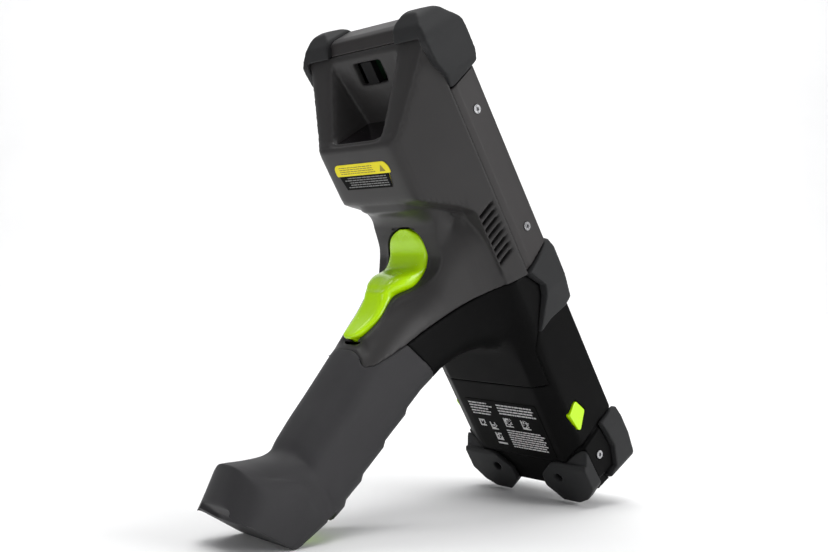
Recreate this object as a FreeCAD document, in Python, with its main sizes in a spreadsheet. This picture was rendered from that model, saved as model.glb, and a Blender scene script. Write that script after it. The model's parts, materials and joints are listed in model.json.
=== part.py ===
import FreeCAD, Part
import math
import os
import re

from FreeCAD import Placement, Rotation, Vector
from Sketcher import Constraint

# A rugged pistol-grip mobile computer with a scanner in its head.
# Modelled in the device's own axes: X to the user's right, Y towards the head, Z out of the display.
# At the end every piece is turned nose-up, so that the foot's heel and the tail bumpers stand on Z = 0.

DIMENSIONS = {
    # head and case
    "case_x": 40.5, "case_head_y": 230.5, "split_z": -17.7, "seam_y": 113.0, "case_wall": 2.3,
    "head_cap_x": 24.0, "head_cap_y": 236.8, "face_z": 0.0,
    # side panels
    "panel_x": 43.0, "panel_low_y": 114.3, "panel_high_y": 204.9,
    # scanner shroud
    "shroud_x": 43.0, "chin_x": 27.5, "chin_z": -47.5, "chin_front_y": 196.0, "chin_rear_y": 168.0,
    "ridge_y": 152.0, "ridge_z": -27.5, "brow_z": -46.3,
    "recess_mouth_x": 25.0, "recess_throat_x": 16.5, "recess_ceiling_z": -21.0, "window_y": 197.0,
    "strap_slot_x": 9.5, "strap_bar_x": 3.6, "strap_slot_low_y": 215.0, "strap_slot_high_y": 225.5,
    "strap_slot_depth": 6.0,
    # tail
    "tail_x": 41.0, "tail_z": -31.5, "tail_flat_x": 29.0, "tail_bevel_z": -26.5, "tail_end_y": 12.5,
    "tail_cap_y": -4.5, "tail_gap": 0.4,
    # battery
    "bay_x": 34.5, "bay_low_z": -28.6, "bay_high_z": -13.0, "bay_end_y": 101.6,
    "battery_x": 34.0, "battery_low_y": 14.0, "battery_high_y": 97.0, "battery_low_z": -28.1,
    "battery_high_z": -13.4,
    # display and keypad
    "glass_x": 36.0, "glass_low_y": 121.0, "glass_high_y": 228.0, "glass_thickness": 1.2,
    "keypad_x": 36.0, "keypad_low_y": 28.6, "keypad_high_y": 112.0, "key_top_z": 1.9,
    "key_base_z": -1.6, "key_gap": 0.4,
    # trigger
    "trigger_pin_y": 143.0, "trigger_pin_z": -36.5, "trigger_pin_r": 1.5,
    # grip and foot
    "grip_end_z": -146.0,
    "foot_x": 20.5, "heel_y": 72.5, "heel_low_y": 75.0, "heel_low_z": -172.0,
    "toe_y": 115.0, "toe_z": -171.0, "toe_low_y": 103.0, "toe_low_z": -186.5,
    # tail bumpers, tether holes and screws
    "lobe_tip_y": -10.4, "lobe_z": -33.2, "tether_x": 21.5, "tether_y": 4.5, "tether_r": 2.4,
    "tether_pocket_z": -24.5, "screw_r": 2.0,
}

doc = FreeCAD.newDocument("handheld_scanner")
sheet = doc.addObject("Spreadsheet::Sheet", "sheet")
for row, (alias, number) in enumerate(DIMENSIONS.items(), start=1):
    sheet.set("A%d" % row, alias)
    sheet.set("B%d" % row, str(number))
    sheet.setAlias("B%d" % row, alias)
doc.recompute()

nodes = {}


# ---------------------------------------------------------------- expressions and sketches
def bound(expression):
    """Expression text with each dimension's name turned into its sheet cell."""
    return re.sub(r"[a-z][a-z_]*", lambda word: "sheet." + word.group(0), str(expression))


def value(expression):
    """The number an expression stands for now."""
    return float(sheet.evalExpression(str(expression)))


def place_point(sketch, geometry, end, point):
    """Fix one end of a sketch element at a point given by two expressions."""
    for kind, expression in zip(("DistanceX", "DistanceY"), point):
        constraint = sketch.addConstraint(Constraint(kind, -1, 1, geometry, end, value(expression)))
        sketch.setExpression("Constraints[%d]" % constraint, bound(expression))


def draw_polygon(sketch, outline):
    """Closed outline of (u, v) corners, or (u, v, radius) corners that are rounded by a tangent arc."""
    corners = [Vector(value(c[0]), value(c[1]), 0) for c in outline]
    radii = [float(c[2]) if len(c) > 2 else 0.0 for c in outline]
    count = len(corners)
    starts, ends, arcs = [], [], []
    for i, corner in enumerate(corners):
        back = (corners[i - 1] - corner).normalize()
        ahead = (corners[(i + 1) % count] - corner).normalize()
        if radii[i] == 0:
            starts.append(corner)
            ends.append(corner)
            arcs.append(None)
            continue
        half = back.getAngle(ahead) / 2
        setback = radii[i] / math.tan(half)
        centre = corner + (back + ahead).normalize() * (radii[i] / math.sin(half))
        starts.append(corner + back * setback)
        ends.append(corner + ahead * setback)
        convex = (corner - corners[i - 1]).cross(corners[(i + 1) % count] - corner).z > 0
        first, last = (starts[i], ends[i]) if convex else (ends[i], starts[i])
        angles = [math.atan2(p.y - centre.y, p.x - centre.x) for p in (first, last)]
        if angles[1] < angles[0]:
            angles[1] += 2 * math.pi
        arcs.append((Part.ArcOfCircle(Part.Circle(centre, Vector(0, 0, 1), radii[i]), *angles), convex))
    lines = []
    for i in range(count):
        segment = Part.LineSegment(ends[i], starts[(i + 1) % count])
        lines.append(sketch.addGeometry(segment, False))
    for i, corner in enumerate(outline):
        before, after = lines[i - 1], lines[i]
        if arcs[i] is None:
            sketch.addConstraint(Constraint("Coincident", before, 2, after, 1))
            place_point(sketch, after, 1, corner)
            continue
        arc, convex = arcs[i]
        curve = sketch.addGeometry(arc, False)
        sketch.addConstraint(Constraint("Tangent", before, 2, curve, 1 if convex else 2))
        sketch.addConstraint(Constraint("Tangent", after, 1, curve, 2 if convex else 1))
        sketch.addConstraint(Constraint("Radius", curve, radii[i]))
        apex = sketch.addGeometry(Part.Point(corners[i]), True)
        sketch.addConstraint(Constraint("PointOnObject", apex, 1, before))
        sketch.addConstraint(Constraint("PointOnObject", apex, 1, after))
        place_point(sketch, apex, 1, corner)


def draw_circle(sketch, centre, radius):
    circle = Part.Circle(Vector(value(centre[0]), value(centre[1]), 0), Vector(0, 0, 1), value(radius))
    geometry = sketch.addGeometry(circle, False)
    place_point(sketch, geometry, 3, centre)
    constraint = sketch.addConstraint(Constraint("Radius", geometry, value(radius)))
    sketch.setExpression("Constraints[%d]" % constraint, bound(radius))


def new_sketch(body, name, plane, offset):
    """Sketch on one of the body's own origin planes, moved along its normal."""
    sketch = body.newObject("Sketcher::SketchObject", name)
    support = [f for f in body.Origin.OriginFeatures if f.Role == plane][0]
    sketch.AttachmentSupport = [(support, "")]
    sketch.MapMode = "FlatFace"
    sketch.setExpression("AttachmentOffset.Base.z", bound(offset))
    return sketch


def prism(name, plane, shape, low, high):
    """Body: an outline (list of corners) or a circle (centre, radius), padded from low to high.

    plane is XY, XZ or YZ; low and high lie along the remaining axis.
    """
    body = doc.addObject("PartDesign::Body", name)
    offset = "-(%s)" % high if plane == "XZ" else low
    sketch = new_sketch(body, name + "_sketch", plane + "_Plane", offset)
    if isinstance(shape, list):
        draw_polygon(sketch, shape)
    else:
        draw_circle(sketch, *shape)
    pad = body.newObject("PartDesign::Pad", name + "_pad")
    pad.Profile = sketch
    pad.setExpression("Length", bound("(%s) - (%s)" % (high, low)))
    body.Tip = pad
    return body


def block(name, x, y, z):
    """Box between three pairs of expressions."""
    outline = [(x[0], y[0]), (x[1], y[0]), (x[1], y[1]), (x[0], y[1])]
    return prism(name, "XY", outline, z[0], z[1])


def rounded(half_x, low_y, high_y, back_r, front_r):
    """Corners of a rounded rectangle that is symmetric in X."""
    return [("-(%s)" % half_x, low_y, back_r), (half_x, low_y, back_r),
            (half_x, high_y, front_r), ("-(%s)" % half_x, high_y, front_r)]


def loft(name, sections):
    """Body lofted through (z, outline) sections that all have the same number of corners."""
    body = doc.addObject("PartDesign::Body", name)
    sketches = []
    for i, (level, outline) in enumerate(sections):
        sketch = new_sketch(body, "%s_section_%d" % (name, i), "XY_Plane", level)
        draw_polygon(sketch, outline)
        sketches.append(sketch)
    skin = body.newObject("PartDesign::AdditiveLoft", name + "_loft")
    skin.Profile = sketches[0]
    skin.Sections = sketches[1:]
    skin.Ruled = True
    body.Tip = skin
    return body


# ---------------------------------------------------------------- booleans and nodes
def combine(kind, name, first, *others):
    """Chain of two-part booleans: kind is Fuse, Cut or Common."""
    result = first
    for i, other in enumerate(others):
        step = doc.addObject("Part::" + kind, "%s_%s_%d" % (name, kind.lower(), i))
        step.Base = result
        step.Tool = other
        result = step
    return result


def fuse(name, *parts):
    return combine("Fuse", name, *parts)


def cut(name, base, *tools):
    return combine("Cut", name, base, *tools)


def common(name, *parts):
    return combine("Common", name, *parts)


def node(name, result):
    """Register a finished sub-part under the name of its file."""
    result.Label = name
    nodes[name] = result
    return result


def sided(outline, side):
    """Outline whose first coordinate is X, for the right (1) or left (-1) side."""
    return [("%d * (%s)" % (side, c[0]),) + tuple(c[1:]) for c in outline]


SIDES = {"right": 1, "left": -1}


# ---------------------------------------------------------------- outer forms
def case_form():
    """Head half of the case, between display and split plane."""
    section = [("-case_x", "split_z"), ("case_x", "split_z"),
               ("case_x", "face_z", 1.5), ("-case_x", "face_z", 1.5)]
    return prism("case_form", "XZ", section, "seam_y", "case_head_y")


def tail_section(name, low, high):
    """Tail cross-section with its bevelled underside, between two Y expressions."""
    section = [("-tail_flat_x", "tail_z", 4), ("tail_flat_x", "tail_z", 4),
               ("tail_x - 1.7", "tail_bevel_z", 3), ("tail_x", "-8.5", 8), ("tail_x", "face_z - 0.5", 1.5),
               ("-tail_x", "face_z - 0.5", 1.5), ("-tail_x", "-8.5", 8),
               ("-(tail_x - 1.7)", "tail_bevel_z", 3)]
    return prism(name, "XZ", section, low, high)


def shroud_form():
    """Faceted scanner housing: the side outline and the cross-section cut each other."""
    side = [("seam_y", "split_z"), ("case_head_y", "split_z"), ("case_head_y", "split_z - 1.7"),
            ("chin_front_y + 3", "chin_z + 4.2", 3), ("chin_front_y", "chin_z", 2),
            ("chin_rear_y", "chin_z", 3), ("ridge_y", "ridge_z", 6), ("seam_y", "ridge_z")]
    section = [("-chin_x", "chin_z", 5), ("chin_x", "chin_z", 5),
               ("shroud_x", "split_z"), ("-shroud_x", "split_z")]
    return common("shroud_form",
                  prism("shroud_side", "YZ", side, "-50", "50"),
                  prism("shroud_section", "XZ", section, "seam_y", "case_head_y"))


# level, rear y, front y, half width of the neck and grip
NECK = [(-24.0, 70.0, 158.0, 38.5), (-27.5, 75.0, 157.0, 36.0), (-32.0, 79.5, 155.0, 31.5),
        (-38.0, 83.5, 152.0, 27.8), (-46.0, 86.5, 145.5, 24.5), (-54.0, 87.8, 135.5, 22.2),
        (-64.0, 88.0, 130.8, 20.2), (-78.0, 85.5, 128.0, 18.8), (-100.0, 79.0, 120.8, 18.0),
        (-122.0, 72.5, 113.0, 17.8), (-148.0, 64.8, 104.0, 17.5)]


def neck_sections(inset, first, last):
    """Rounded sections of the neck, shrunk by an inset, for the chosen levels."""
    sections = []
    for level, rear, front, half in NECK:
        if first >= level >= last:
            corner = 0.78 * (half - inset)
            outline = rounded(half - inset, rear + inset, front - inset, 0.7 * (half - inset), corner)
            sections.append((level, outline))
    return sections


def brow_form():
    """Rounded underside that carries the chin's level back over the trigger."""
    section = [(-24.5, -24.0), (-24.5, "brow_z", 13), (24.5, "brow_z", 13), (24.5, -24.0)]
    side = [(125.0, -24.0), (125.0, "brow_z - 1"),
            ("chin_rear_y - 1", "brow_z - 1"), ("chin_rear_y - 1", -24.0)]
    return common("brow_form", prism("brow_section", "XZ", section, 125, 170),
                  prism("brow_side", "YZ", side, -30, 30))


# Side outlines (y, z) that divide the skin between its mouldings; they meet without overlapping.
GRIP_LINE = [(122.0, -96.5), (116.0, -100.5), (114.3, -97.0), ("seam_y", -78.0), (86.0, -68.0)]


def rear_region():
    return prism("rear_region", "YZ", [("seam_y", "split_z"), (240, "split_z"), (240, -96.5)] + GRIP_LINE[:4],
                 "-50", "50")


def lower_region():
    outline = [("seam_y", "split_z"), ("seam_y", -78.0), (86.0, -68.0), (60.0, -60.0), (73.0, -29.0),
               (82.0, -25.5), (99.0, -13.5), (104.0, -12.0)]
    tongue = block("tongue_region", ("-37.2", "37.2"), (58, 90), (-40, -27.2))
    return fuse("lower_region", prism("lower_side_region", "YZ", outline, "-50", "50"), tongue)


def grip_region():
    outline = GRIP_LINE + [(50.0, -60.0), (50.0, "grip_end_z"), (140.0, "grip_end_z"), (140.0, -96.5)]
    return prism("grip_region", "YZ", outline, "-50", "50")


def waist_region(side, name):
    """Side strip that the rubber waist bumper fills."""
    outline = [(113.9, -17.7), (121.7, 3.0), (90.0, 3.0), (87.0, -3.0), (87.0, -15.0), (84.8, -23.3),
               (99.0, -13.5), (104.0, -12.0)]
    low, high = ("38.5", "46") if side > 0 else ("-46", "-38.5")
    return prism(name, "YZ", outline, low, high)


# ---------------------------------------------------------------- hollows
def upper_hollow(name):
    return block(name, ("-(case_x - case_wall)", "case_x - case_wall"),
                 ("seam_y + 10", "case_head_y - case_wall"), ("split_z - 1", "-3.2"))


def keypad_hollow(name):
    return block(name, (-33.5, 33.5), ("keypad_low_y + 2.5", "seam_y"), (-10.5, -3.2))


def bay_hollow(name):
    return block(name, ("-bay_x", "bay_x"), ("tail_end_y - 5", "bay_end_y"), ("bay_low_z", "bay_high_z"))


def throat_hollow(name):
    """Room between the case and the neck, behind the battery bay."""
    return block(name, (-35, 35), (101.5, "seam_y + 11"), (-26.5, "-3.2"))


def neck_hollow(name):
    return loft(name, neck_sections(2.6, -24.0, -122.0))


def roof_hollow(name):
    """Room between the split plane and the neck."""
    return block(name, (-33, 33), ("seam_y + 3", "ridge_y - 1"), (-25, "split_z + 1"))


def shroud_hollow(name):
    section = [(-23.5, -44.8), (23.5, -44.8), (37.5, "split_z"), (-37.5, "split_z")]
    side = [("ridge_y + 2", "split_z + 0.5"), ("ridge_y + 2", "ridge_z + 1.6"), ("chin_rear_y + 1.4", -44.8),
            ("window_y - 3.5", -44.8), ("window_y - 3.5", "split_z + 0.5")]
    return common(name, prism(name + "_section", "XZ", section, "ridge_y", "window_y"),
                  prism(name + "_side", "YZ", side, -50, 50))


def recess_hollow(name):
    """Flared scanner recess between the cheeks."""
    outline = [("-recess_throat_x", "window_y - 1.2"), ("recess_throat_x", "window_y - 1.2"),
               ("recess_mouth_x", "case_head_y + 1"), ("-recess_mouth_x", "case_head_y + 1")]
    return prism(name, "XY", outline, -44.0, "recess_ceiling_z")


def strap_hollow(name):
    return block(name, ("-strap_slot_x", "strap_slot_x"), ("strap_slot_low_y", "strap_slot_high_y"),
                 ("recess_ceiling_z - 1", "recess_ceiling_z + strap_slot_depth"))


FORMS = {"case": case_form(), "shroud": shroud_form(), "brow": brow_form(),
         "neck": loft("neck_form", neck_sections(0, -24.0, -148.0)),
         "tail": tail_section("tail_form", "tail_end_y - 2", "seam_y")}
HOLLOWS = {"upper": upper_hollow("upper_hollow"), "keypad": keypad_hollow("keypad_hollow"),
           "bay": bay_hollow("bay_hollow"), "throat": throat_hollow("throat_hollow"),
           "neck": neck_hollow("neck_hollow"), "roof": roof_hollow("roof_hollow"),
           "shroud": shroud_hollow("shroud_hollow"), "recess": recess_hollow("recess_hollow"),
           "strap": strap_hollow("strap_hollow")}
REGIONS = {"rear": rear_region(), "lower": lower_region(), "grip": grip_region()}
WAIST = {side: waist_region(sign, "waist_region_" + side) for side, sign in SIDES.items()}


# ---------------------------------------------------------------- mouldings
def tail_end_tool(name, gap):
    """Everything tailwards of the slanted seam between tail and battery cap."""
    seam = [("tail_end_y + (%s)" % gap, "tail_z - 4"), ("tail_end_y + (%s)" % gap, "tail_z + 0.2"),
            ("tail_end_y + 8.1 + (%s)" % gap, "tail_z + 4.8"), ("tail_end_y + 12.7 + (%s)" % gap, -10.0),
            ("tail_end_y + 14.2 + (%s)" % gap, "face_z + 2")]
    return prism(name, "YZ", seam + [(-30, "face_z + 2"), (-30, "tail_z - 4")], -60, 60)


def latch_outline(side, grow):
    """Slanted four-sided outline (y, z) of the battery latch button, grown all round."""
    return [("43.6 + %s" % grow, "-19.6", 1.2), ("36.0", "-16.4 + %s" % grow, 1.2),
            ("28.4 - %s" % grow, "-24.4", 1.2), ("39.6", "-26.4 - %s" % grow, 1.2)]


def latch_pocket(side, sign):
    low, high = ("bay_x - 1", "43") if sign > 0 else ("-43", "-(bay_x - 1)")
    return prism("latch_pocket_" + side, "YZ", latch_outline(side, 0.35), low, high)


def display_opening(name):
    return block(name, ("-(glass_x - 3)", "glass_x - 3"), ("glass_low_y + 3", "glass_high_y - 3"), (-5, 2))


def glass_outline(gap):
    return rounded("glass_x + %s" % gap, "glass_low_y - %s" % gap, "glass_high_y + %s" % gap, 5, 5)


def keypad_outline(gap):
    return rounded("keypad_x + %s" % gap, "keypad_low_y - %s" % gap, "keypad_high_y + %s" % gap, 6, 3)


def front_housing():
    outer = fuse("front_outer", FORMS["case"], FORMS["tail"])
    return cut("front_housing", outer, REGIONS["lower"], tail_end_tool("tail_end_cut", "tail_gap"),
               HOLLOWS["upper"], HOLLOWS["keypad"], HOLLOWS["bay"], HOLLOWS["throat"], HOLLOWS["neck"],
               display_opening("display_opening"),
               prism("glass_seat", "XY", glass_outline(0.2), "face_z - glass_thickness", 2),
               prism("keypad_seat", "XY", keypad_outline(0.2), "-3.3", 2),
               latch_pocket("left", -1), latch_pocket("right", 1), WAIST["left"], WAIST["right"])


def vent_slots():
    """Row of slanted slots through each side facet."""
    slots = []
    for side, sign in SIDES.items():
        for i in range(8):
            middle = 126.5 + 3.4 * i
            outline = [(middle - 3.4, -27.0), (middle - 1.9, -27.0),
                       (middle + 2.2, -19.6), (middle + 0.7, -19.6)]
            low, high = (33, 45) if sign > 0 else (-45, -33)
            slots.append(prism("vent_%s_%d" % (side, i), "YZ", outline, low, high))
    return slots


def trigger_side(grow):
    """Side outline (y, z) of the trigger: upper scoop, middle ridge and lower scoop."""
    return [("153.2 + %s" % grow, "-43.4 + %s" % grow, 1.5), ("152.6 + %s" % grow, "-48.6", 3),
            ("139.0 + %s" % grow, "-57.5", 9), ("140.5 + %s" % grow, "-67.5", 4),
            ("131.0 + %s" % grow, "-77.5", 9), ("126.2 + %s" % grow, "-92.5 - %s" % grow, 2),
            ("120.5 - %s" % grow, "-89.6 - %s" % grow, 1), ("125.2 - %s" % grow, "-74.0", 5),
            ("127.6 - %s" % grow, "-57.5", 8), ("131.0 - %s" % grow, "-44.0", 5),
            ("140.0", "-40.2 + %s" % grow, 6)]


def trigger_face(grow):
    """Front outline (x, z) of the trigger: a wide upper pad over a narrow lower one."""
    half = [("4.0", "-93.2 - %s" % grow, 2), ("10.0 + %s" % grow, "-86.0 - %s" % grow, 5),
            ("11.2 + %s" % grow, "-70.0", 5), ("15.4 + %s" % grow, "-60.0", 6),
            ("15.4 + %s" % grow, "-39.6 + %s" % grow)]
    other = [("-(%s)" % c[0],) + c[1:] for c in reversed(half)]
    return half + other


def trigger_plan(grow):
    """Outline (x, y) of the trigger from below: the upper pad ends in a round tip."""
    half = [("15.4 + %s" % grow, 110), ("15.4 + %s" % grow, "143.0", 9),
            ("8.4 + %s" % grow, "154.2 + %s" % grow, 6)]
    other = [("-(%s)" % c[0],) + c[1:] for c in reversed(half)]
    return half + other


def trigger_blade(name, grow, side):
    """Solid between the trigger's face, plan and side outlines."""
    return common(name, prism(name + "_side", "YZ", side, -20, 20),
                  prism(name + "_face", "XZ", trigger_face(grow), 110, 160),
                  prism(name + "_plan", "XY", trigger_plan(grow), -100, -30))


def trigger_well():
    """Opening for the trigger, with room behind it for its swing."""
    side = [(156.0, -42.0), (156.0, -60.0), (142.0, -70.0), (125.4, -94.2), (114.0, -91.0), (118.0, -60.0),
            (125.0, -41.0), (137.0, -38.4)]
    return trigger_blade("trigger_well", 0.7, side)


def rear_housing():
    outer = fuse("rear_outer", FORMS["shroud"], FORMS["neck"], FORMS["brow"])
    kept = common("rear_kept", outer, REGIONS["rear"])
    tools = [HOLLOWS["shroud"], HOLLOWS["neck"], HOLLOWS["roof"], HOLLOWS["recess"], HOLLOWS["strap"],
             trigger_well(),
             block("window_way", ("-(recess_throat_x - 1.5)", "recess_throat_x - 1.5"),
                   ("window_y - 5", "window_y"), (-41.5, -24.5))]
    return cut("rear_housing", kept, *(tools + vent_slots()))


def lower_housing():
    outer = fuse("lower_outer", FORMS["tail"], FORMS["neck"])
    kept = common("lower_kept", outer, REGIONS["lower"])
    return cut("lower_housing", kept, HOLLOWS["bay"], HOLLOWS["throat"], HOLLOWS["neck"])


PANEL_SCREWS = [(191.6, -8.6), (132.5, -7.9)]


def side_panel(side, sign):
    section = sided([("case_x", "split_z"), ("panel_x - 1.2", "split_z"), ("panel_x", "split_z + 3.7"),
                     ("panel_x", "face_z - 0.6", 1.5), ("case_x", "face_z - 0.3")], sign)
    ends = [("panel_low_y", "split_z - 0.5"), ("panel_low_y + 7.2", "face_z + 0.5"),
            ("panel_high_y + 4.4", "face_z + 0.5"), ("panel_high_y", "split_z - 0.5")]
    plate = common("panel_plate_" + side, prism("panel_section_" + side, "XZ", section, 110, 212),
                   prism("panel_ends_" + side, "YZ", ends, -50, 50))
    bores = []
    for i, place in enumerate(PANEL_SCREWS):
        bores.append(screw_bore("panel_%s_%d" % (side, i), place, sign, "panel_x - 0.7"))
        bores.append(prism("panel_bore_%s_%d" % (side, i), "YZ", (place, 1.15), -60 if sign < 0 else 35,
                           -35 if sign < 0 else 60))
    return cut("side_panel_" + side, plate, *bores)


def head_cap():
    """Plate across the head, between the two corner bumpers."""
    side = [("case_head_y", "split_z - 1.6"), ("case_head_y + 5.3", "split_z + 0.7", 1.5),
            ("head_cap_y", "-14.0", 2), ("head_cap_y", "-3.5", 2), ("case_head_y + 4", "face_z", 1),
            ("case_head_y", "face_z")]
    return prism("head_cap", "YZ", side, "-head_cap_x", "head_cap_x")


def head_bumper(side, sign):
    """Rubber corner that wraps the head's front, side and display edge."""
    plan = sided([(24.0, 230.5), (24.0, 237.6, 1.5), (28.5, 241.0, 4), (38.5, 240.5, 6), (45.5, 230.0, 12),
                  (45.5, 212.0, 4), (43.0, 205.2), (40.5, 205.2), (40.5, 230.5)], sign)
    profile = [(206.0, -15.4), (210.1, 0.6, 1.5), (215.5, 2.2, 3), (230.0, 2.2, 6), (239.0, -4.0, 5),
               (241.6, -13.5, 4), (236.0, -19.4, 3), (229.0, -22.4, 4), (219.0, -21.4, 4), (211.0, -18.4, 2),
               (206.4, -17.7)]
    whole = common("bumper_whole_" + side, prism("bumper_plan_" + side, "XY", plan, -24, 3),
                   prism("bumper_profile_" + side, "YZ", profile, -50, 50))
    return cut("head_bumper_" + side, whole, FORMS["shroud"])


def waist_bumper(side, sign):
    """Rubber pad round the case's edge where the head half meets the tail."""
    plan = sided([(38.6, 121.7), (42.6, 120.6, 1), (44.6, 116.5, 2), (44.4, 101.0, 6), (41.6, 86.0, 4),
                  (40.2, 83.0), (38.6, 83.0)], sign)
    return common("waist_bumper_" + side, prism("waist_plan_" + side, "XY", plan, -27, 1.6), WAIST[side])


# ---------------------------------------------------------------- grip and foot
def grip_overmould():
    outer = common("grip_outer", FORMS["neck"], REGIONS["grip"])
    core = loft("grip_core_tool", neck_sections(2.5, -32.0, -148.0))
    return cut("grip_overmould", outer, core)


def grip_core():
    solid = loft("grip_core_solid", neck_sections(2.8, -32.0, -148.0))
    inner = loft("grip_core_void", neck_sections(5.2, -32.0, -148.0))
    limit = block("grip_core_limit", (-30, 30), (50, 140), ("grip_end_z", -101.5))
    return cut("grip_core", common("grip_core_length", solid, limit), inner)


def foot_base():
    side = [(104.6, "grip_end_z"), (106.5, -153.0, 8), ("toe_y", "toe_z", 2), ("toe_low_y", "toe_low_z", 2),
            ("heel_low_y", "heel_low_z", 2), ("heel_y", -168.0, 2), ("heel_y", "grip_end_z")]
    plan = rounded("foot_x", "heel_y - 2", "toe_y + 1", 8, 9)
    whole = common("foot_whole", prism("foot_side", "YZ", side, "-foot_x", "foot_x"),
                   prism("foot_plan", "XY", plan, -190, "grip_end_z"))
    toe_recess = prism("toe_recess", "YZ", [(104.2, -184.2), (109.0, -189.0), (98.0, -190.0), (92.0, -179.4)],
                       -12, 12)
    groove_line = [(101.5, -166.2), (87.0, -156.0), (86.3, -157.0), (100.5, -168.0)]
    grooves = [prism("groove_left", "YZ", groove_line, "-foot_x - 1", "-foot_x + 0.8"),
               prism("groove_right", "YZ", groove_line, "foot_x - 0.8", "foot_x + 1")]
    seat = block("heel_seat", (-12.2, 12.2), ("heel_y - 2", "heel_y + 1.8"), (-166.2, -149.8))
    return cut("foot_base", whole, toe_recess, seat, *grooves)


def heel_insert():
    return block("heel_insert", (-12, 12), ("heel_y - 0.4", "heel_y + 1.8"), (-166, -150))


# ---------------------------------------------------------------- battery and its end cap
def battery_case():
    section = rounded("battery_x", "battery_low_z", "battery_high_z", 2, 2)
    return prism("battery_case", "XZ", section, "battery_low_y", "battery_high_y")


def cap_cheek(side, sign):
    """Raised cheek of the cap between a side's two bumpers."""
    outline = [(22.5, -12.6), (10.5, -10.8), (1.2, -14.2), (1.6, -25.8), (20.2, -26.4)]
    low, high = ("tail_x - 3", "tail_x") if sign > 0 else ("-tail_x", "-(tail_x - 3)")
    return prism("cap_cheek_" + side, "YZ", outline, low, high)


def top_corner_outline():
    """Side outline (y, z) of a bumper on the display edge of the tail."""
    return [(24.8, -11.8), (26.3, 1.2, 1), (10.0, 1.6, 4), (-3.5, -0.4, 3), (-6.0, -8.0, 2), (-4.4, -17.6, 2),
            (-0.5, -19.4, 1), (0.9, -13.8), (10.6, -10.4)]


def bottom_corner_outline():
    """Side outline (y, z) of a bumper on the underside edge of the tail."""
    return [(19.8, -27.0), (1.2, -26.2), (-1.6, -25.6), (-6.0, -28.6, 2), ("lobe_tip_y", -31.2, 1.5),
            ("lobe_tip_y + 0.4", "lobe_z", 1), (12.0, "lobe_z", 2), (14.0, -31.9), (12.6, -31.4)]


def top_corner(side, sign):
    plan = sided([(27.0, 3.0), (27.0, -4.8, 2), (33.0, -6.4, 4), (43.4, -2.0, 4), (43.6, 20.0, 6),
                  (42.0, 27.4), (39.4, 27.4), (39.4, 3.0)], sign)
    return common("tail_bumper_top_" + side, prism("top_corner_plan_" + side, "XY", plan, -20, 3),
                  prism("top_corner_side_" + side, "YZ", top_corner_outline(), -50, 50))


def tether_hole(side, sign):
    name = "tether_hole_" + side
    return prism(name, "XY", (("%d * tether_x" % sign, "tether_y"), "tether_r"), -40, "tether_pocket_z + 1")


def bottom_corner(side, sign):
    """Rubber lobe under the tail's corner, with the tether hole through it."""
    plan = sided([(9.6, -2.0, 3), (19.0, -10.4, 3), (25.0, -11.6, 3), (36.0, -6.5, 4), (42.2, 0.5, 3),
                  (42.0, 20.6, 2), (30.0, 15.4, 4), (19.0, 12.5, 4), (10.4, 5.0, 3)], sign)
    whole = common("bottom_corner_whole_" + side, prism("bottom_corner_plan_" + side, "XY", plan, -36, -24),
                   prism("bottom_corner_side_" + side, "YZ", bottom_corner_outline(), -50, 50))
    return cut("tail_bumper_bottom_" + side, whole, cap_core("cap_core_" + side), tether_hole(side, sign))


def cap_core(name):
    """Space of the cap's own moulding inside the bumpers."""
    section = [("-tail_flat_x + 1", "tail_z + 0.6"), ("tail_flat_x - 1", "tail_z + 0.6"),
               ("tail_x - 2.4", "tail_bevel_z"), ("tail_x - 1.6", "-10"), ("tail_x - 1.6", "face_z - 0.5"),
               ("-(tail_x - 1.6)", "face_z - 0.5"), ("-(tail_x - 1.6)", "-10"),
               ("-(tail_x - 2.4)", "tail_bevel_z")]
    return prism(name, "XZ", section, "tail_cap_y", 40)


def battery_end_cap():
    section = cap_core("cap_core_main")
    outline = [(30, "face_z + 1"), (-3.0, "face_z + 1"), ("tail_cap_y", -4.0, 1), ("tail_cap_y", -27.0, 1),
               (-1.5, "tail_z - 1"), (30, "tail_z - 1")]
    side = prism("end_cap_side", "YZ", outline, -50, 50)
    body = common("end_cap_body", section, side, tail_end_tool("end_cap_seam", 0))
    whole = fuse("end_cap_whole", body, *[cap_cheek(side_name, sign) for side_name, sign in SIDES.items()])
    tools = [block("battery_space", ("-bay_x", "bay_x"), ("battery_low_y", 40), ("bay_low_z", "bay_high_z"))]
    for side_name, sign in SIDES.items():
        tools.append(common("top_corner_relief_" + side_name,
                            prism("top_relief_plan_" + side_name, "XY",
                                  sided([(27.0, 3.0), (27.0, -8.0), (46.0, -8.0), (46.0, 30.0), (39.4, 30.0),
                                         (39.4, 3.0)], sign), -20, 3),
                            prism("top_relief_side_" + side_name, "YZ", top_corner_outline(), -50, 50)))
        tools.append(tether_hole("cap_" + side_name, sign))
        pocket = (("%d * tether_x" % sign, "tether_y"), "tether_r + 1.2")
        tools.append(prism("tether_pocket_" + side_name, "XY", pocket, "tether_pocket_z", -20.5))
        tools.append(screw_bore("cap_" + side_name, (11.8, -19.6), sign, "tail_x - 1.6"))
    grip_slot = block("cap_grip_slot", (-9, 9), ("tail_cap_y - 1", "tail_cap_y + 2"), (-20, -15))
    return cut("battery_end_cap", whole, *(tools + [grip_slot]))


def star(centre, radius):
    """Six-lobed driver recess as a twelve-cornered outline."""
    corners = []
    for i in range(12):
        reach = radius if i % 2 == 0 else radius * 0.72
        angle = math.pi * i / 6
        corners.append((centre[0] + reach * math.cos(angle), centre[1] + reach * math.sin(angle)))
    return corners


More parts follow.
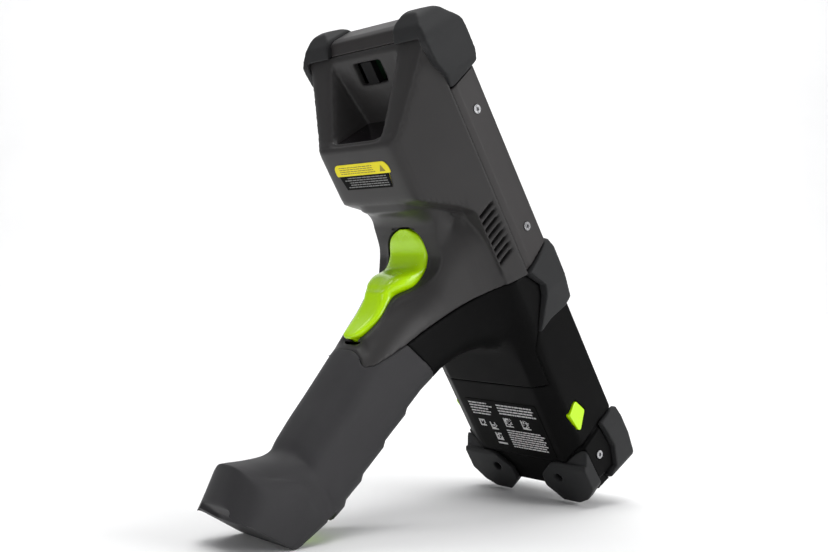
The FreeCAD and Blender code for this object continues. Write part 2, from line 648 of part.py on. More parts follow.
def screw(name, centre, sign, seat, length):
    """Star-drive screw along X: head, driver recess and shank. seat is where the head starts."""
    near, far = ("%s" % seat, "(%s) + 1.0" % seat)
    spans = {"head": (near, far), "shank": ("(%s) - %s" % (seat, length), near),
             "drive": ("(%s) + 0.3" % seat, "(%s) + 2" % seat)}
    if sign < 0:
        spans = {key: ("-(%s)" % high, "-(%s)" % low) for key, (low, high) in spans.items()}
    head = prism(name + "_head", "YZ", (centre, "screw_r"), *spans["head"])
    shank = prism(name + "_shank", "YZ", (centre, 1.1), *spans["shank"])
    drive = prism(name + "_drive", "YZ", star(centre, 1.1), *spans["drive"])
    return cut(name, fuse(name + "_blank", head, shank), drive)


def screw_bore(name, centre, sign, seat):
    """Clearance for a screw's head, from its seat outwards."""
    low, high = (seat, "60") if sign > 0 else ("-60", "-(%s)" % seat)
    return prism("screw_bore_" + name, "YZ", (centre, "screw_r + 0.08"), low, high)


def panel_screws():
    screws = [screw("panel_screw_%s_%d" % (side, i), place, sign, "panel_x - 0.7", 1.7)
              for side, sign in SIDES.items() for i, place in enumerate(PANEL_SCREWS)]
    return fuse("panel_screws", *screws)


def cap_screws():
    screws = [screw("cap_screw_" + side, (11.8, -19.6), sign, "tail_x - 0.6", 1.0)
              for side, sign in SIDES.items()]
    return fuse("cap_screws", *screws)


def battery_contacts():
    blades = [block("contact_%d" % i, (6 * i - 11, 6 * i - 7),
                    ("battery_high_y", "battery_high_y + 0.8"), (-24, -17))
              for i in range(4)]
    return fuse("battery_contacts", *blades)


def contact_block():
    """Spring contact block on the inner wall of the battery bay."""
    return block("contact_block", (-15, 15), ("battery_high_y + 1", "bay_end_y"), (-26, -15))


# ---------------------------------------------------------------- latches
def latch(side, sign):
    """Button with a blind cup behind it that takes the spring."""
    low, high = ("bay_x + 2.4", "tail_x + 0.5") if sign > 0 else ("-(tail_x + 0.5)", "-(bay_x + 2.4)")
    cup_low, cup_high = ("bay_x", "bay_x + 6.1") if sign > 0 else ("-(bay_x + 6.1)", "-bay_x")
    return cut("latch_" + side, prism("latch_button_" + side, "YZ", latch_outline(side, 0), low, high),
               prism("latch_cup_" + side, "YZ", ((36.0, -21.4), 2.6), cup_low, cup_high))


def latch_springs():
    """Short coil behind each latch button, as a sleeve of the coil's outer and inner size."""
    coils = []
    for side, sign in SIDES.items():
        low, high = ("bay_x + 0.2", "bay_x + 3.9") if sign > 0 else ("-(bay_x + 3.9)", "-(bay_x + 0.2)")
        outer = prism("latch_spring_outer_" + side, "YZ", ((36.0, -21.4), 2.2), low, high)
        inner = prism("latch_spring_inner_" + side, "YZ", ((36.0, -21.4), 1.6), low, high)
        coils.append(cut("latch_coil_" + side, outer, inner))
    return fuse("latch_springs", *coils)


# ---------------------------------------------------------------- trigger
def trigger():
    blade = trigger_blade("trigger_blade", 0, trigger_side(0))
    arm = prism("trigger_arm", "YZ", [(136.5, -45.0), (146.5, -45.0), (146.5, -36.0, 3), (143.0, -32.5, 3),
                                      (139.5, -34.0, 3)], -6, 6)
    bore = prism("trigger_bore", "YZ", (("trigger_pin_y", "trigger_pin_z"), "trigger_pin_r + 0.05"), -20, 20)
    return cut("trigger", fuse("trigger_solid", blade, arm), bore)


def trigger_pin():
    return prism("trigger_pin", "YZ", (("trigger_pin_y", "trigger_pin_z"), "trigger_pin_r"), -9.5, 13.0)


def trigger_bracket():
    """Fork whose two ears carry the trigger's pin."""
    outline = [(-9.4, -39.8), (-6.6, -39.8), (-6.6, -25.0), (6.6, -25.0), (6.6, -39.8), (9.4, -39.8),
               (9.4, -23.0), (-9.4, -23.0)]
    bore = prism("bracket_bore", "YZ", (("trigger_pin_y", "trigger_pin_z"), "trigger_pin_r"), -20, 20)
    return cut("trigger_bracket", prism("bracket_fork", "XZ", outline, 138.5, 147.5), bore)


def trigger_spring():
    outer = prism("trigger_spring_outer", "YZ", (("trigger_pin_y", "trigger_pin_z"), 3.2), 9.6, 12.6)
    inner = prism("trigger_spring_inner", "YZ", (("trigger_pin_y", "trigger_pin_z"), 2.0), 9.6, 12.6)
    return cut("trigger_spring", outer, inner)


def trigger_switch():
    return block("trigger_switch", (-4, 4), (112.5, 120.5), (-72, -62))


# ---------------------------------------------------------------- display, keypad and boards
def touch_glass():
    return prism("touch_glass", "XY", glass_outline(0), "face_z - glass_thickness", "face_z")


def display_panel():
    return block("display_panel", ("-(glass_x - 3.4)", "glass_x - 3.4"),
                 ("glass_low_y + 3.4", "glass_high_y - 3.4"), ("face_z - 4.4", "face_z - glass_thickness"))


def main_board():
    return block("main_board", (-36, 36), (124.5, 226), (-9.5, -8.1))


def scan_engine():
    return block("scan_engine", (-12, 12), (172, 192), (-42, -22))


def scan_window():
    return block("scan_window", ("-recess_throat_x + 0.3", "recess_throat_x - 0.3"),
                 ("window_y - 1.2", "window_y"), (-43.6, -21.2))


def strap_bar():
    return block("strap_bar", ("-strap_bar_x", "strap_bar_x"), ("strap_slot_low_y", "strap_slot_high_y"),
                 ("recess_ceiling_z", "recess_ceiling_z + 3"))


def speaker():
    return prism("speaker", "XY", ((0, 207.5), 7.0), -16.6, -10.0)


KEY_ROWS = [("scan_key", 1), ("nav", 3), ("row_1", 3), ("row_2", 3), ("row_3", 3), ("row_4", 3)]
KEY_NAMES = {"scan_key": ["key_scan"], "nav": ["key_left_function", "key_navigation", "key_right_function"],
             "row_1": ["key_1", "key_2", "key_3"], "row_2": ["key_4", "key_5", "key_6"],
             "row_3": ["key_7", "key_8", "key_9"], "row_4": ["key_clear", "key_0", "key_enter"]}
KEY_HEIGHTS = {"scan_key": 10.0, "nav": 19.0, "row_1": 9.0, "row_2": 9.0, "row_3": 9.0, "row_4": 9.0}


def key_outlines():
    """Name and outline of every key: rows fill the keypad from its top edge down."""
    outlines = {}
    top = value("keypad_high_y") - 4.0
    for row, count in KEY_ROWS:
        height = KEY_HEIGHTS[row]
        span = 66.0 if count == 3 else 30.0
        pitch = span / count
        for i, name in enumerate(KEY_NAMES[row]):
            centre = -span / 2 + pitch * (i + 0.5)
            half = pitch / 2 - 1.5
            outlines[name] = [(centre - half, top - height, 2.2), (centre + half, top - height, 2.2),
                              (centre + half, top, 2.2), (centre - half, top, 2.2)]
        top -= height + 2.2
    return outlines


def grown(outline, gap):
    """Outline of a key grown by a gap all round."""
    low, high = outline[0], outline[2]
    return [(low[0] - gap, low[1] - gap, 2.4), (high[0] + gap, low[1] - gap, 2.4),
            (high[0] + gap, high[1] + gap, 2.4), (low[0] - gap, high[1] + gap, 2.4)]


def keypad_frame():
    plate = prism("keypad_plate", "XY", keypad_outline(0), "-2.2", "face_z + 0.3")
    holes = [prism(name + "_hole", "XY", grown(outline, value("key_gap")), -5, 3)
             for name, outline in key_outlines().items()]
    return cut("keypad_frame", plate, *holes)


def key(name, outline):
    return prism(name, "XY", outline, "key_base_z", "key_top_z")


def keymat():
    return prism("keymat", "XY", keypad_outline(-1.0), -3.2, -2.9)


# ---------------------------------------------------------------- labels
def caution_label():
    """Yellow caution label with its plain text field below it, on the chin."""
    caution = [(-19.5, 182.9, 0.8), (19.5, 182.9, 0.8), (19.5, 188.6, 3.5), (-19.5, 188.6, 3.5)]
    notice = [(-16.0, 176.0), (16.0, 176.0), (18.0, 182.5), (-18.0, 182.5)]
    return fuse("caution_label", prism("caution_field", "XY", caution, "chin_z - 0.2", "chin_z"),
                prism("notice_field", "XY", notice, "chin_z - 0.2", "chin_z"))


def rating_label():
    outline = [(-25.0, 15.5, 1), (25.0, 15.5, 1), (25.0, 47.0, 1), (-25.0, 47.0, 1)]
    return prism("rating_label", "XY", outline, "tail_z - 0.2", "tail_z")


# ---------------------------------------------------------------- assembly
def build_nodes():
    single = [front_housing, rear_housing, lower_housing, head_cap, grip_overmould, grip_core, foot_base,
              heel_insert, battery_case, battery_end_cap, panel_screws, cap_screws, battery_contacts,
              contact_block, trigger, trigger_pin, trigger_bracket, trigger_spring, trigger_switch,
              touch_glass, display_panel, main_board, scan_engine, scan_window, strap_bar, speaker,
              keypad_frame, keymat, caution_label, rating_label, latch_springs]
    paired = {"side_panel": side_panel, "head_bumper": head_bumper, "waist_bumper": waist_bumper,
              "tail_bumper_top": top_corner, "tail_bumper_bottom": bottom_corner,
              "latch": latch}
    for build in single:
        node(build.__name__, build())
    for name, build in paired.items():
        for side, sign in SIDES.items():
            node("%s_%s" % (name, side), build(side, sign))
    for name, outline in key_outlines().items():
        node(name, key(name, outline))


def nose_up_angle():
    """Pitch at which the foot's heel and the tail bumpers' tips share one floor."""
    rise = value("lobe_z - heel_low_z")
    run = value("heel_low_y - lobe_tip_y")
    return math.degrees(math.atan2(rise, run))


def stand_on_floor():
    """Turn every node nose-up and put the middle of the whole object's base at the origin."""
    turn = Placement(Vector(), Rotation(Vector(1, 0, 0), nose_up_angle()))
    whole = FreeCAD.BoundBox()
    for part in nodes.values():
        shape = part.Shape.copy()
        shape.Placement = turn.multiply(shape.Placement)
        whole.add(shape.optimalBoundingBox(False))
    shift = Vector(-whole.Center.x, -whole.Center.y, -whole.ZMin)
    placement = Placement(shift, turn.Rotation)
    for part in nodes.values():
        part.Placement = placement.multiply(part.Placement)
    return placement


def check():
    """Stop if any object failed, or any sub-part has no valid solid."""
    failed = [o.Name for o in doc.Objects if {"Invalid", "Error"} & set(o.State)]
    failed += [n for n, p in nodes.items() if p.Shape.isNull() or not p.Shape.isValid() or not p.Shape.Solids]
    if failed:
        raise RuntimeError("failed objects: %s" % ", ".join(failed))


def write():
    os.makedirs("parts", exist_ok=True)
    for name, part in nodes.items():
        part.Shape.exportStep("parts/%s.step" % name)


build_nodes()
doc.recompute()
check()
stand_on_floor()
write()
print("%d nodes written" % len(nodes))
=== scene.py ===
import json
import math

import bmesh
import bpy
import numpy as np
from mathutils import Euler, Matrix, Vector, kdtree


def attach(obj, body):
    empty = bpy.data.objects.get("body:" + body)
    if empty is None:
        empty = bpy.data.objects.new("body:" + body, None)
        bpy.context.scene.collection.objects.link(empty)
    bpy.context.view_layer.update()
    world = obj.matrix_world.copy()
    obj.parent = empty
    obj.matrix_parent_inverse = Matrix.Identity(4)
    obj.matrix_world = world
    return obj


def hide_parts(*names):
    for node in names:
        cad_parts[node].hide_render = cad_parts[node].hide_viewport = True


# The looks of a rugged pistol-grip handheld computer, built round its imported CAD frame.
# Device axes: X to the user's right, Y towards the head, Z out of the display, in millimetres.
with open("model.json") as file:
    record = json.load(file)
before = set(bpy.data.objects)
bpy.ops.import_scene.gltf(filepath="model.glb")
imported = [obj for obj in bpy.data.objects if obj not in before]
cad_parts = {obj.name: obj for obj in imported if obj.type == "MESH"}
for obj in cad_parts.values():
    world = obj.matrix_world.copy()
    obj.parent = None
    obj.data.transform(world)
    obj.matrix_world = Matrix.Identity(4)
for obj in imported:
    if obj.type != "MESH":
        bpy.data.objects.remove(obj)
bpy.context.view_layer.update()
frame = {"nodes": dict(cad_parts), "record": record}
MM = 0.001


# ---------------------------------------------------------------- device frame
def device_frame():
    """Matrix from device millimetres to row metres, read from the mount on the display's face."""
    mount = [m for m in frame["record"]["mounts"] if m["name"] == "display_face"][0]
    up = Vector(mount["axis"])
    turn = Matrix.Rotation(math.atan2(-up.y, up.z), 4, "X")
    display_middle = Vector((0.0, 175.0, 0.0))
    origin = Vector(mount["pos_m"]) - (turn @ display_middle) * MM
    return Matrix.Translation(origin) @ turn @ Matrix.Scale(MM, 4)


DEVICE = device_frame()
TO_DEVICE = np.array(DEVICE.inverted())
TO_ROW = np.array(DEVICE)


def coordinates(mesh):
    points = np.empty(len(mesh.vertices) * 3)
    mesh.vertices.foreach_get("co", points)
    return points.reshape(-1, 3)


def in_device(mesh):
    """Vertex positions of a mesh in device millimetres."""
    return coordinates(mesh) @ TO_DEVICE[:3, :3].T + TO_DEVICE[:3, 3]


def set_from_device(mesh, points):
    rows = points @ TO_ROW[:3, :3].T + TO_ROW[:3, 3]
    mesh.vertices.foreach_set("co", rows.ravel())
    mesh.update()


def normals_in_device(mesh):
    normals = np.empty(len(mesh.vertices) * 3)
    mesh.vertex_normals.foreach_get("vector", normals)
    turn = TO_DEVICE[:3, :3] * MM
    return normals.reshape(-1, 3) @ turn.T


def smoothstep(low, high, x):
    t = np.clip((x - low) / (high - low), 0.0, 1.0)
    return t * t * (3 - 2 * t)


# ---------------------------------------------------------------- mesh tools
def new_object(name, mesh):
    piece = bpy.data.objects.new(name, mesh)
    bpy.context.scene.collection.objects.link(piece)
    return piece


def applied(piece):
    """Replace an object's mesh with the result of its modifiers."""
    bpy.context.view_layer.update()
    graph = bpy.context.evaluated_depsgraph_get()
    mesh = bpy.data.meshes.new_from_object(piece.evaluated_get(graph))
    piece.modifiers.clear()
    piece.data = mesh
    return piece


def joined_copy(name, nodes):
    """One object that holds copies of several CAD meshes."""
    whole = bmesh.new()
    for node in nodes:
        whole.from_mesh(frame["nodes"][node].data)
    mesh = bpy.data.meshes.new(name)
    whole.to_mesh(mesh)
    whole.free()
    return new_object(name, mesh)


def remeshed(piece, voxel):
    remesh = piece.modifiers.new("remesh", "REMESH")
    remesh.mode = "VOXEL"
    remesh.voxel_size = voxel * MM
    return applied(piece)


def rounds_for(reach, voxel):
    """Rounds of smoothing that even out a mesh of this voxel over a given reach in millimetres."""
    return round((reach / voxel) ** 2)


def smoothed(piece, rounds, weights=None):
    """Smooth a mesh; weights between 0 and 1, one for each vertex, limit where."""
    smooth = piece.modifiers.new("smooth", "SMOOTH")
    smooth.factor = 0.5
    smooth.iterations = rounds
    if weights is not None:
        group = piece.vertex_groups.new(name="smooth")
        levels = np.round(np.clip(weights, 0, 1) * 20).astype(int)
        for level in range(1, 21):
            members = np.nonzero(levels == level)[0].tolist()
            if members:
                group.add(members, level / 20, "REPLACE")
        smooth.vertex_group = group.name
    applied(piece)
    piece.vertex_groups.clear()
    return piece


def shade_smooth(piece):
    piece.data.polygons.foreach_set("use_smooth", [True] * len(piece.data.polygons))
    return piece


# ---------------------------------------------------------------- the flowing form
SKIN_NODES = ["front_housing", "rear_housing", "lower_housing", "grip_overmould", "side_panel_left",
              "side_panel_right", "trigger", "foot_base"]
SKIN_VOXEL = 1.1
SKIN_ROUNDS = 60


def flow_weights(p):
    """How strongly each point of the skin is smoothed: the neck fully, the head's facets a little."""
    x, y, z = np.abs(p[:, 0]), p[:, 1], p[:, 2]
    below = smoothstep(-21.5, -27.0, z)
    neck = below * smoothstep(176.0, 160.0, y) * smoothstep(70.0, 84.0, y + 0.35 * (z + 30))
    vents = (x > 30) & (y > 119) & (y < 158) & (z > -30.0)
    neck = np.where(vents, 0.0, neck)
    chin = 0.7 * smoothstep(-19.0, -24.0, z) * smoothstep(160.0, 172.0, y) * smoothstep(232.0, 226.0, y)
    foot = smoothstep(-146.0, -160.0, z)
    return np.clip(np.maximum(neck, chin) * (1 - foot), 0.0, 1.0)


def flowing_form():
    """Tree over the joined skin's vertices, and how far smoothing moves each of them."""
    skin = remeshed(joined_copy("skin", SKIN_NODES), SKIN_VOXEL)
    start = coordinates(skin.data)
    smoothed(skin, SKIN_ROUNDS, flow_weights(in_device(skin.data)))
    moves = coordinates(skin.data) - start
    tree = kdtree.KDTree(len(start))
    for i, point in enumerate(start):
        tree.insert(point, i)
    tree.balance()
    bpy.data.objects.remove(skin)
    return tree, moves


def follow_flow(piece, flow):
    """Move a piece's vertices as the joined skin beside them moved."""
    tree, moves = flow
    points = coordinates(piece.data)
    shifted = points.copy()
    for i, point in enumerate(points):
        near = tree.find_n(point, 4)
        shares = np.array([1.0 / (d + 1e-5) for _, _, d in near])
        move = sum(moves[k] * s for (_, k, _), s in zip(near, shares)) / shares.sum()
        shifted[i] = point + move
    piece.data.vertices.foreach_set("co", shifted.ravel())
    piece.data.update()
    return piece


def moulded(node, voxel, rounds, material, flow=None):
    """Moulded copy of a CAD node: even mesh, edges rounded by smoothing, riding on the node's body."""
    piece = remeshed(joined_copy(node + "_moulding", [node]), voxel)
    smoothed(piece, rounds)
    if flow:
        follow_flow(piece, flow)
    shade_smooth(piece)
    return dress(piece, node, material)


def dress(piece, node, material):
    """Give a piece its material and body, and let it stand for a CAD node."""
    piece.data.materials.clear()
    piece.data.materials.append(material)
    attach(piece, BODY_OF[node])
    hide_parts(node)
    return piece


BODY_OF = {n: body for body, nodes in frame["record"]["behaviour"]["bodies"].items() for n in nodes}
SLOT_OF = {s["node"]: s["material_slot"] for s in frame["record"]["subparts"]}


# ---------------------------------------------------------------- materials
class Nodes:
    """Short-hand for building one node material."""

    def __init__(self, name):
        self.material = bpy.data.materials.new(name)
        self.material.use_nodes = True
        self.tree = self.material.node_tree
        self.shader = self.tree.nodes["Principled BSDF"]
        self.place = self.add("ShaderNodeTexCoord").outputs["Object"]

    def add(self, kind, **values):
        made = self.tree.nodes.new(kind)
        for key, setting in values.items():
            setattr(made, key, setting)
        return made

    def link(self, source, target):
        self.tree.links.new(source, target)

    def noise(self, scale, detail=3.0, place=None):
        made = self.add("ShaderNodeTexNoise")
        made.inputs["Scale"].default_value = scale
        made.inputs["Detail"].default_value = detail
        self.link(place or self.place, made.inputs["Vector"])
        return made.outputs["Fac"]

    def ramp(self, source, stops):
        made = self.add("ShaderNodeValToRGB")
        elements = made.color_ramp.elements
        while len(elements) < len(stops):
            elements.new(0.5)
        for element, (position, colour) in zip(elements, stops):
            element.position = position
            element.color = colour if len(colour) == 4 else (*colour, 1.0)
        self.link(source, made.inputs["Fac"])
        return made.outputs["Color"]

    def math(self, operation, a, b):
        made = self.add("ShaderNodeMath", operation=operation)
        for socket, term in zip(made.inputs, (a, b)):
            if isinstance(term, (int, float)):
                socket.default_value = term
            else:
                self.link(term, socket)
        return made.outputs[0]

    def bump(self, height, strength, distance):
        made = self.add("ShaderNodeBump")
        made.inputs["Strength"].default_value = strength
        made.inputs["Distance"].default_value = distance
        self.link(height, made.inputs["Height"])
        self.link(made.outputs["Normal"], self.shader.inputs["Normal"])

    def settle(self, **values):
        for key, setting in values.items():
            self.shader.inputs[key.replace("_", " ")].default_value = setting


def scaled(colour, factor):
    return tuple(min(1.0, c * factor) for c in colour)


def moulded_plastic(name, colour, roughness, grain=0.25, spread=0.12, texture=2600.0):
    """Injection-moulded plastic: spark-eroded grain, faint flow marks and handling shine."""
    m = Nodes(name)
    cloud = m.noise(28.0, 4.0)
    fine = m.noise(texture, 2.0)
    tone = m.math("ADD", m.math("MULTIPLY", cloud, 0.75), m.math("MULTIPLY", fine, 0.25))
    m.link(m.ramp(tone, [(0.3, scaled(colour, 1 - spread)), (0.7, scaled(colour, 1 + spread))]),
           m.shader.inputs["Base Color"])
    shine = m.math("ADD", m.math("MULTIPLY", m.noise(60.0, 5.0), 0.16), roughness - 0.08)
    m.link(shine, m.shader.inputs["Roughness"])
    m.bump(fine, grain, 0.00006)
    return m


def rubber(name, colour):
    """Soft-touch rubber: dull, with a fine pebble and dusty highlights."""
    m = moulded_plastic(name, colour, 0.62, grain=0.4, spread=0.14, texture=1700.0)
    m.settle(Sheen_Weight=0.05, Sheen_Roughness=0.5, Specular_IOR_Level=0.22)
    return m.material


def satin(name, colour, roughness=0.42, specular=0.28):
    m = moulded_plastic(name, colour, roughness)
    m.settle(Specular_IOR_Level=specular)
    return m.material


def glossy(name, colour, roughness=0.26):
    """Glossy coloured plastic under a light clear coat."""
    m = moulded_plastic(name, colour, roughness, grain=0.04, spread=0.05, texture=900.0)
    m.settle(Coat_Weight=0.25, Coat_Roughness=0.15, Specular_IOR_Level=0.4)
    return m.material


def steel(name):
    """Turned steel with fine rings and light tarnish."""
    m = Nodes(name)
    cloud = m.noise(900.0, 4.0)
    m.link(m.ramp(cloud, [(0.3, (0.30, 0.30, 0.31)), (0.7, (0.46, 0.46, 0.47))]),
           m.shader.inputs["Base Color"])
    m.link(m.math("ADD", m.math("MULTIPLY", cloud, 0.2), 0.2), m.shader.inputs["Roughness"])
    m.bump(m.noise(4000.0), 0.15, 0.00003)
    m.settle(Metallic=1.0)
    return m.material


def printed(name, colour):
    """Screen-printed ink, slightly uneven."""
    m = Nodes(name)
    m.link(m.ramp(m.noise(1200.0, 3.0), [(0.3, scaled(colour, 0.85)), (0.65, colour)]),
           m.shader.inputs["Base Color"])
    m.link(m.math("ADD", m.math("MULTIPLY", m.noise(300.0), 0.2), 0.4), m.shader.inputs["Roughness"])
    return m.material


MATERIALS = {
    "head_housing": satin("head_plastic", (0.032, 0.0305, 0.0305)),
    "panel": satin("panel_plastic", (0.030, 0.0275, 0.0275), 0.46),
    "lower_housing": satin("lower_plastic", (0.0030, 0.0030, 0.0031), 0.5, 0.06),
    "rubber": rubber("bumper_rubber", (0.017, 0.0173, 0.0182)),
    "grip": rubber("grip_rubber", (0.030, 0.0292, 0.0312)),
    "accent": glossy("lime_plastic", (0.50, 0.86, 0.0)),
    "inner": satin("inner_plastic", (0.004, 0.004, 0.0045), 0.6, 0.15),
    "window": glossy("dark_window", (0.004, 0.003, 0.004), 0.12),
    "glass": glossy("display_glass", (0.003, 0.0035, 0.004), 0.1),
    "key": satin("key_plastic", (0.045, 0.045, 0.048), 0.5),
    # Circuit board: its green is darkened nearly to black as painted shade, where it shows through the scan
    # window.
    "board": satin("board_green_and_painted_shade", (0.003, 0.022, 0.007), 0.4),
    "contact": steel("contact_metal"),
    "steel": steel("screw_steel"),
    "caution": satin("caution_yellow", (0.88, 0.76, 0.005), 0.45),
    "label": satin("label_black", (0.0025, 0.0025, 0.0025), 0.55, 0.05),
    "white_ink": printed("white_ink", (0.62, 0.62, 0.62)),
    "grey_ink": printed("grey_ink", (0.20, 0.20, 0.20)),
    "amber_ink": printed("amber_ink", (0.30, 0.24, 0.01)),
}


# ---------------------------------------------------------------- printed marks
INK = 0.03
WORD_GAP = 0.35
LEGEND_STROKE = 0.55
NUMERAL_WIDTH = 2.1


def device_box(node):
    points = in_device(frame["nodes"][node].data)
    return points.min(0), points.max(0)


def printed_marks(name, node, marks, level, material):
    """Thin plates of ink, one for each outline of x, y corners, on the face at this device level."""
    outwards = 1 if level > -10 else -1
    build = bmesh.new()
    for corners in marks:
        low = [build.verts.new(DEVICE @ Vector((x, y, level))) for x, y in corners]
        high = [build.verts.new(DEVICE @ Vector((x, y, level + outwards * INK))) for x, y in corners]
        count = len(corners)
        build.faces.new(low)
        build.faces.new(high[::-1])
        for i in range(count):
            build.faces.new((low[i], high[i], high[(i + 1) % count], low[(i + 1) % count]))
    bmesh.ops.recalc_face_normals(build, faces=build.faces)
    mesh = bpy.data.meshes.new(name)
    build.to_mesh(mesh)
    build.free()
    mesh.materials.append(material)
    piece = new_object(name, mesh)
    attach(piece, BODY_OF[node])


def bar(x0, y0, x1, y1):
    return [(x0, y0), (x1, y0), (x1, y1), (x0, y1)]


def word_bars(dice, x0, x1, top, rows, pitch, height, ragged=0.25):
    """Rows of short bars that stand for lines of small print."""
    marks = []
    for row in range(rows):
        y = top - row * pitch
        x = x0
        end = x1 - dice.random() * ragged * (x1 - x0)
        while x < end:
            width = min(end - x, 0.8 + dice.random() * 2.6)
            marks.append(bar(x, y - height, x + width, y))
            x += width + WORD_GAP
    return marks


def code_square(dice, x0, y0, size, cells=9):
    """Random square cells inside a solid two-sided border: a made-up code that reads as nothing."""
    step = size / cells
    marks = [bar(x0, y0, x0 + step, y0 + size), bar(x0 + step, y0, x0 + size, y0 + step)]
    for i in range(1, cells):
        for k in range(1, cells):
            if dice.random() < 0.5:
                x, y = x0 + i * step, y0 + k * step
                marks.append(bar(x, y, x + 0.94 * step, y + 0.94 * step))
    return marks


def turned_over(marks):
    """Marks laid out left to right as read from the back of the device."""
    return [[(-x, y) for x, y in corners] for corners in marks]


def rating_print():
    low, high = device_box("rating_label")
    left, right, top = low[0] + 2.0, high[0] - 2.0, high[1] - 2.0
    dice = np.random.default_rng(4)
    marks = word_bars(dice, left, left + 17.0, top, 5, 1.7, 0.75)
    marks += word_bars(dice, left + 20.0, right, top, 4, 1.7, 0.8)
    marks += code_square(dice, left + 21.0, top - 13.5, 5.4)
    marks += code_square(dice, left + 33.0, top - 13.5, 5.4)
    marks += word_bars(dice, left + 20.0, right, top - 15.5, 8, 1.45, 0.7, 0.12)
    marks += code_square(dice, left + 2.0, top - 15.0, 4.2, 5)
    marks += code_square(dice, left + 9.5, top - 16.5, 4.6, 6)
    marks += code_square(dice, left + 10.0, top - 23.0, 4.6, 5)
    marks.append(bar(left + 9.5, top - 25.5, left + 16.0, top - 24.4))
    printed_marks("rating_print", "rating_label", turned_over(marks), low[2], MATERIALS["white_ink"])


def caution_print():
    """Plain lines on the yellow field, and a dark field of small print below it."""
    low, high = device_box("caution_label")
    middle_y = high[1] - 5.75
    level = low[2]
    dice = np.random.default_rng(9)
    field = [(-18.0, middle_y - 0.15), (-16.3, low[1] - 0.05),
             (16.3, low[1] - 0.05), (18.0, middle_y - 0.15)]
    printed_marks("notice_field", "caution_label", [field], level, MATERIALS["label"])
    lines = word_bars(dice, -15.2, 15.2, middle_y - 0.8, 5, 1.15, 0.5, 0.1)
    printed_marks("notice_print", "caution_label", lines, level - INK, MATERIALS["grey_ink"])
    amber = word_bars(dice, -16.0, 10.0, high[1] - 1.3, 4, 1.0, 0.4, 0.1)
    amber += [[(12.4, middle_y + 1.0), (16.4, middle_y + 1.0), (14.4, middle_y + 4.2)]]
    printed_marks("caution_print", "caution_label", turned_over(amber), level,
                  MATERIALS["amber_ink"])


# Segments of a plain seven-bar numeral, as ends on a grid one unit wide and two high.
NUMERAL_BARS = {"a": ((0, 2), (1, 2)), "b": ((1, 2), (1, 1)), "c": ((1, 1), (1, 0)), "d": ((0, 0), (1, 0)),
                "e": ((0, 1), (0, 0)), "f": ((0, 2), (0, 1)), "g": ((0, 1), (1, 1))}
NUMERALS = {"0": "abcdef", "1": "bc", "2": "abged", "3": "abgcd", "4": "fgbc", "5": "afgcd", "6": "afgedc",
            "7": "abc", "8": "abcdefg", "9": "abcdfg"}


def stroke(start, end, width):
    """Rectangle round a line, as long as the line plus its width."""
    a, b = np.array(start, float), np.array(end, float)
    along = (b - a) / np.linalg.norm(b - a)
    across = np.array((-along[1], along[0])) * width / 2
    a, b = a - along * width / 2, b + along * width / 2
    return [tuple(a - across), tuple(b - across), tuple(b + across), tuple(a + across)]


def numeral(digit):
    """Lines of a numeral, centred on zero."""
    middle = np.array((0.5, 1.0))
    return [[(np.array(end) - middle) * NUMERAL_WIDTH for end in NUMERAL_BARS[bar_name]]
            for bar_name in NUMERALS[digit]]


# Lines of the plain symbols on the other keys, centred on zero.
SYMBOLS = {"clear": [((-1.5, -1.5), (1.5, 1.5)), ((-1.5, 1.5), (1.5, -1.5))],
           "enter": [((2, 1.6), (2, -0.6)), ((2, -0.6), (-2, -0.6)), ((-2, -0.6), (-0.8, 0.6)),
                     ((-2, -0.6), (-0.8, -1.8))],
           "scan": [((-4, 0), (4, 0))],
           "navigation": [((0, 5.5), (-1.2, 4.2)), ((0, 5.5), (1.2, 4.2)), ((0, -5.5), (-1.2, -4.2)),
                          ((0, -5.5), (1.2, -4.2)), ((-6, 0), (-4.8, 1.2)), ((-6, 0), (-4.8, -1.2)),
                          ((6, 0), (4.8, 1.2)), ((6, 0), (4.8, -1.2))],
           "left_function": [((-2, 0), (2, 0)), ((-2, 0), (-0.8, 1.2)), ((-2, 0), (-0.8, -1.2))],
           "right_function": [((-1.6, -1.2), (-1.6, 1.2)), ((0, -1.2), (0, 1.2)), ((1.6, -1.2), (1.6, 1.2))]}


def key_marks(key, middle):
    """Numeral of a number key, or a plain symbol for the others."""
    legend = key[4:]
    lines = numeral(legend) if legend in NUMERALS else SYMBOLS[legend]
    return [stroke(middle + np.array(a), middle + np.array(b), LEGEND_STROKE) for a, b in lines]


def key_legends():
    for key in [n for n in frame["nodes"] if n.startswith("key_")]:
        low, high = device_box(key)
        marks = key_marks(key, (low[:2] + high[:2]) / 2)
        printed_marks(key + "_legend", key, marks, high[2] - 0.01, MATERIALS["white_ink"])


# ---------------------------------------------------------------- trigger
# Stations from the upper pad's tip to the lower tip: rim (y, z), front (y, z), half width.
TRIGGER_STATIONS = [
    (150.2, -39.6, 150.9, -40.8, 2.8), (147.8, -40.2, 148.6, -41.6, 8.6), (144.8, -41.4, 145.6, -42.9, 11.6),
    (141.0, -42.4, 141.9, -44.0, 13.0), (137.4, -43.3, 139.0, -46.2, 13.6), (133.2, -46.9, 136.4, -52.1, 13.5),
    (131.1, -50.6, 138.1, -61.0, 13.1), (129.6, -55.2, 137.4, -66.2, 12.3), (129.4, -59.0, 136.0, -69.0, 10.6),
    (131.0, -65.4, 135.0, -71.2, 8.4), (129.9, -69.5, 132.4, -73.5, 8.2), (127.3, -75.8, 129.5, -79.3, 8.4),
    (125.6, -80.1, 128.2, -84.2, 7.7), (123.8, -87.6, 126.8, -92.0, 5.4), (123.2, -90.2, 125.0, -93.2, 2.6)]
TRIGGER_LEAN = math.radians(31.8)
ALONG_TRIGGER = np.array((math.cos(TRIGGER_LEAN), math.sin(TRIGGER_LEAN)))
OUT_OF_TRIGGER = np.array((math.sin(TRIGGER_LEAN), -math.cos(TRIGGER_LEAN)))


